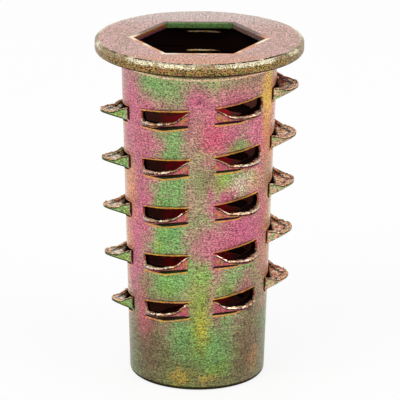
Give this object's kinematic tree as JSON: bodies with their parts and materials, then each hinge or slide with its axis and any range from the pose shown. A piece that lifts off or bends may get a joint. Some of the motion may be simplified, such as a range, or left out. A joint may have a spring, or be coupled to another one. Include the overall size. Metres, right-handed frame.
{
  "type": "threaded insert",
  "caption": "Flanged threaded insert for wood: a thin tapered steel barrel with a helix of lanced teeth, a hex drive hole in the flange and a threaded open end.",
  "frame": {"origin": "centre of the open end, on the surface that the insert stands on", "axes": "+Z along the insert's axis from the open end to the flange; a pair of the hex hole's corners lies on X"},
  "size_m": [0.015, 0.0148, 0.025],
  "materials": {
    "plated_steel": "zinc plated steel with an iridescent yellow chromate that turns pink and green"
  },
  "bodies": {
    "root": {"insert_body": "plated_steel"}
  },
  "joints": []
}
